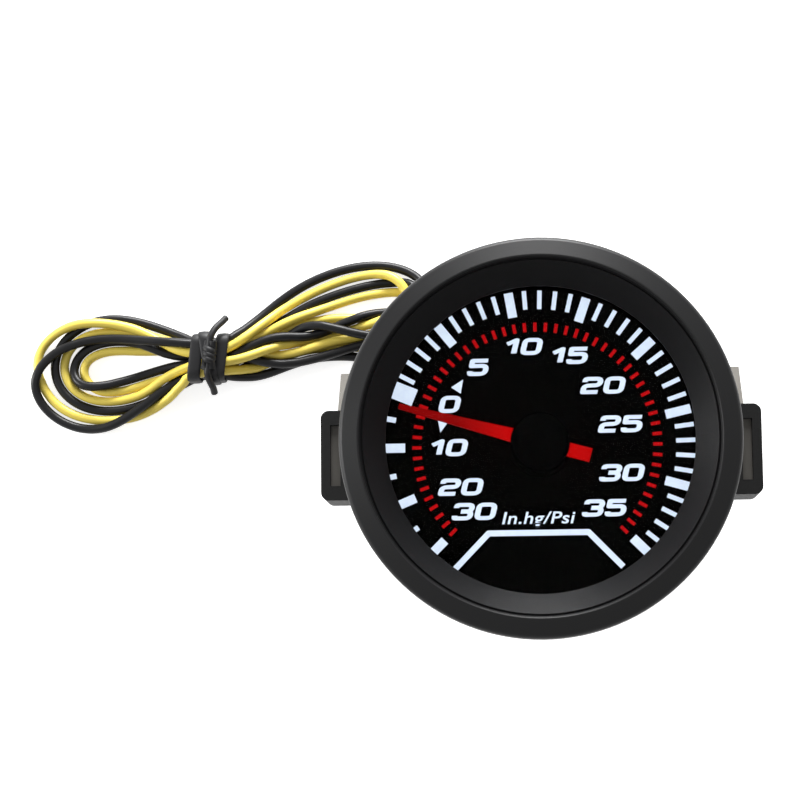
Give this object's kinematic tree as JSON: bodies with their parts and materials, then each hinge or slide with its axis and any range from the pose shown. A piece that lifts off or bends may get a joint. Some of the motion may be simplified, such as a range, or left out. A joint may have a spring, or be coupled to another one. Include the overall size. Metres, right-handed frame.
{
  "type": "boost gauge",
  "caption": "Round panel gauge for boost and vacuum with a lit dial behind a smoked lens, a Bourdon movement, a clamp bracket on studs and a tied hank of lamp wires.",
  "frame": {"origin": "centre of the bezel's rear face, where it seats on the panel", "axes": "+Z out of the dial towards the reader, +Y towards 12 o'clock, +X towards 3 o'clock"},
  "size_m": [0.125, 0.0681, 0.0626],
  "materials": {
    "satin_black": "satin black, fine moulded grain",
    "gasket_rubber": "matt black",
    "smoked_glass": "smoked, polished",
    "dial_black": "matt black print",
    "scale_white": "white print, lit from behind",
    "scale_red": "red print, lit from behind",
    "clear_plastic": "clear acrylic",
    "board_green": "solder mask",
    "lamp_white": "white lamp body",
    "can_black": "satin black paint on steel",
    "movement_brass": "stamped, fine brushed",
    "tube_bronze": "drawn bronze",
    "spring_steel": "blued",
    "screw_steel": "zinc plated",
    "nipple_brass": "turned",
    "nut_brass": "turned, knurled",
    "bracket_steel": "zinc plated sheet",
    "pad_rubber": "satin black, moulded",
    "pointer_red": "red, lit",
    "cap_black": "satin black",
    "wire_black": "smooth insulation",
    "wire_yellow": "smooth insulation",
    "tinned_copper": "tinned copper strands",
    "tie_black": "plastic-covered wire"
  },
  "bodies": {
    "case": {"bezel": "satin_black", "lens_gasket": "gasket_rubber", "lens": "smoked_glass", "spacer_ring": "satin_black", "dial_plate": "dial_black", "scale_white": "scale_white", "scale_red": "scale_red", "light_guide": "clear_plastic", "lamp_board": "board_green", "lamps": "lamp_white", "can": "can_black", "plate_front": "movement_brass", "plate_rear": "movement_brass", "pillars": "movement_brass", "movement_screws": "screw_steel", "socket_block": "movement_brass", "bourdon_tube": "tube_bronze", "tube_tip": "movement_brass", "hairspring": "spring_steel", "block_screws": "screw_steel", "nipple": "nipple_brass", "studs": "screw_steel", "grommet": "gasket_rubber", "lead_black": "wire_black", "lead_yellow": "wire_yellow", "hank_black": "wire_black", "hank_yellow": "wire_yellow", "tail_black": "wire_black", "tail_yellow": "wire_yellow", "wire_tips": "tinned_copper", "twist_tie": "tie_black"},
    "link": {"tip_link": "screw_steel"},
    "sector": {"sector_gear": "movement_brass"},
    "pointer": {"pinion": "movement_brass", "pointer": "pointer_red", "pointer_cap": "cap_black"},
    "clamp": {"washers": "screw_steel", "bracket": "bracket_steel", "pad_left": "pad_rubber", "pad_right": "pad_rubber"},
    "nut_left": {"nut_left": "nut_brass"},
    "nut_right": {"nut_right": "nut_brass"}
  },
  "joints": [
    {"name": "sector_turn", "type": "hinge", "parent": "case", "child": "sector", "pos_m": [-0.0105, -0.01174, -0.0161], "axis": [0, 0, 1], "range_deg": [-7.55, 26.2], "stiffness_Nm_per_rad": 0.001},
    {"name": "pointer_sweep", "type": "hinge", "parent": "case", "child": "pointer", "pos_m": [0, 0, -0.0161], "axis": [0, 0, 1], "range_deg": [-209.6, 60.4]},
    {"name": "link_swing", "type": "hinge", "parent": "sector", "child": "link", "pos_m": [-0.01383, -0.01547, -0.0161], "axis": [0, 0, 1], "range_deg": [-26.2, 7.55]},
    {"name": "nut_left_turn", "type": "hinge", "parent": "clamp", "child": "nut_left", "pos_m": [-0.016, 0.0056, -0.05], "axis": [0, 0, 1], "range_deg": [0, 5760]},
    {"name": "nut_right_turn", "type": "hinge", "parent": "clamp", "child": "nut_right", "pos_m": [0.016, 0.0056, -0.05], "axis": [0, 0, 1], "range_deg": [0, 5760]},
    {"name": "clamp_slide", "type": "slide", "parent": "case", "child": "clamp", "axis": [0, 0, 1], "range_m": [0, 0.0112]}
  ],
  "couplings": [
    {"joint": "pointer_sweep", "follows": "sector_turn", "ratio": -8},
    {"joint": "link_swing", "follows": "sector_turn", "ratio": -1},
    {"joint": "nut_left_turn", "follows": "clamp_slide", "rad_per_m": 8976},
    {"joint": "nut_right_turn", "follows": "clamp_slide", "rad_per_m": 8976}
  ]
}
